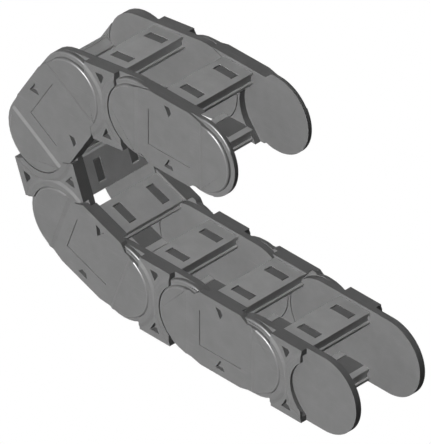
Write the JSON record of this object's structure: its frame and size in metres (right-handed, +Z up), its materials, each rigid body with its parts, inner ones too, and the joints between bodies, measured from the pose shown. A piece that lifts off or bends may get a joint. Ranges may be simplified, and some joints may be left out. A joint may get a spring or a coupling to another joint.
{
  "type": "cable drag chain",
  "caption": "Plastic drag chain that carries and guides cables: hinged links with side plates and snap-in crossbars, its lower run flat and its upper run curled back over it.",
  "frame": {"origin": "middle of the chain's outline, on the plane that its lower run lies on", "axes": "+X from the closed curve towards the two free ends, Y across the chain along every hinge, +Z up from the lower run to the upper run"},
  "size_m": [0.352, 0.084, 0.2156],
  "materials": {
    "side_plate": "moulded, fine grain",
    "crossbar": "moulded, fine grain"
  },
  "bodies": {
    "link_1": {"link_1_far_side_plate": "side_plate", "link_1_near_side_plate": "side_plate", "link_1_inside_crossbar": "crossbar", "link_1_outside_crossbar": "crossbar"},
    "link_2": {"link_2_far_side_plate": "side_plate", "link_2_near_side_plate": "side_plate", "link_2_inside_crossbar": "crossbar", "link_2_outside_crossbar": "crossbar"},
    "link_3": {"link_3_far_side_plate": "side_plate", "link_3_near_side_plate": "side_plate", "link_3_inside_crossbar": "crossbar", "link_3_outside_crossbar": "crossbar"},
    "link_4": {"link_4_far_side_plate": "side_plate", "link_4_near_side_plate": "side_plate", "link_4_inside_crossbar": "crossbar", "link_4_outside_crossbar": "crossbar"},
    "link_5": {"link_5_far_side_plate": "side_plate", "link_5_near_side_plate": "side_plate", "link_5_inside_crossbar": "crossbar", "link_5_outside_crossbar": "crossbar"},
    "link_6": {"link_6_far_side_plate": "side_plate", "link_6_near_side_plate": "side_plate", "link_6_inside_crossbar": "crossbar", "link_6_outside_crossbar": "crossbar"},
    "link_7": {"link_7_far_side_plate": "side_plate", "link_7_near_side_plate": "side_plate", "link_7_inside_crossbar": "crossbar", "link_7_outside_crossbar": "crossbar"},
    "link_8": {"link_8_far_side_plate": "side_plate", "link_8_near_side_plate": "side_plate", "link_8_inside_crossbar": "crossbar", "link_8_outside_crossbar": "crossbar"}
  },
  "joints": [
    {"name": "hinge_3_4", "type": "hinge", "parent": "link_4", "child": "link_3", "pos_m": [-0.05702, 0, 0.032], "axis": [0, 1, 0], "range_deg": [-33, 20]},
    {"name": "hinge_2_3", "type": "hinge", "parent": "link_3", "child": "link_2", "pos_m": [0.00999, 0, 0.032], "axis": [0, 1, 0], "range_deg": [-53, 0]},
    {"name": "hinge_1_2", "type": "hinge", "parent": "link_2", "child": "link_1", "pos_m": [0.07698, 0, 0.032], "axis": [0, 1, 0], "range_deg": [-53, 0]},
    {"name": "hinge_4_5", "type": "hinge", "parent": "link_4", "child": "link_5", "pos_m": [-0.11997, 0, 0.05491], "axis": [0, 1, 0], "range_deg": [-49, 4]},
    {"name": "hinge_5_6", "type": "hinge", "parent": "link_5", "child": "link_6", "pos_m": [-0.14399, 0, 0.11746], "axis": [0, 1, 0], "range_deg": [-53, 0]},
    {"name": "hinge_6_7", "type": "hinge", "parent": "link_6", "child": "link_7", "pos_m": [-0.10848, 0, 0.17428], "axis": [0, 1, 0], "range_deg": [-50, 3]},
    {"name": "hinge_7_8", "type": "hinge", "parent": "link_7", "child": "link_8", "pos_m": [-0.04213, 0, 0.18361], "axis": [0, 1, 0], "range_deg": [-8, 45]}
  ]
}
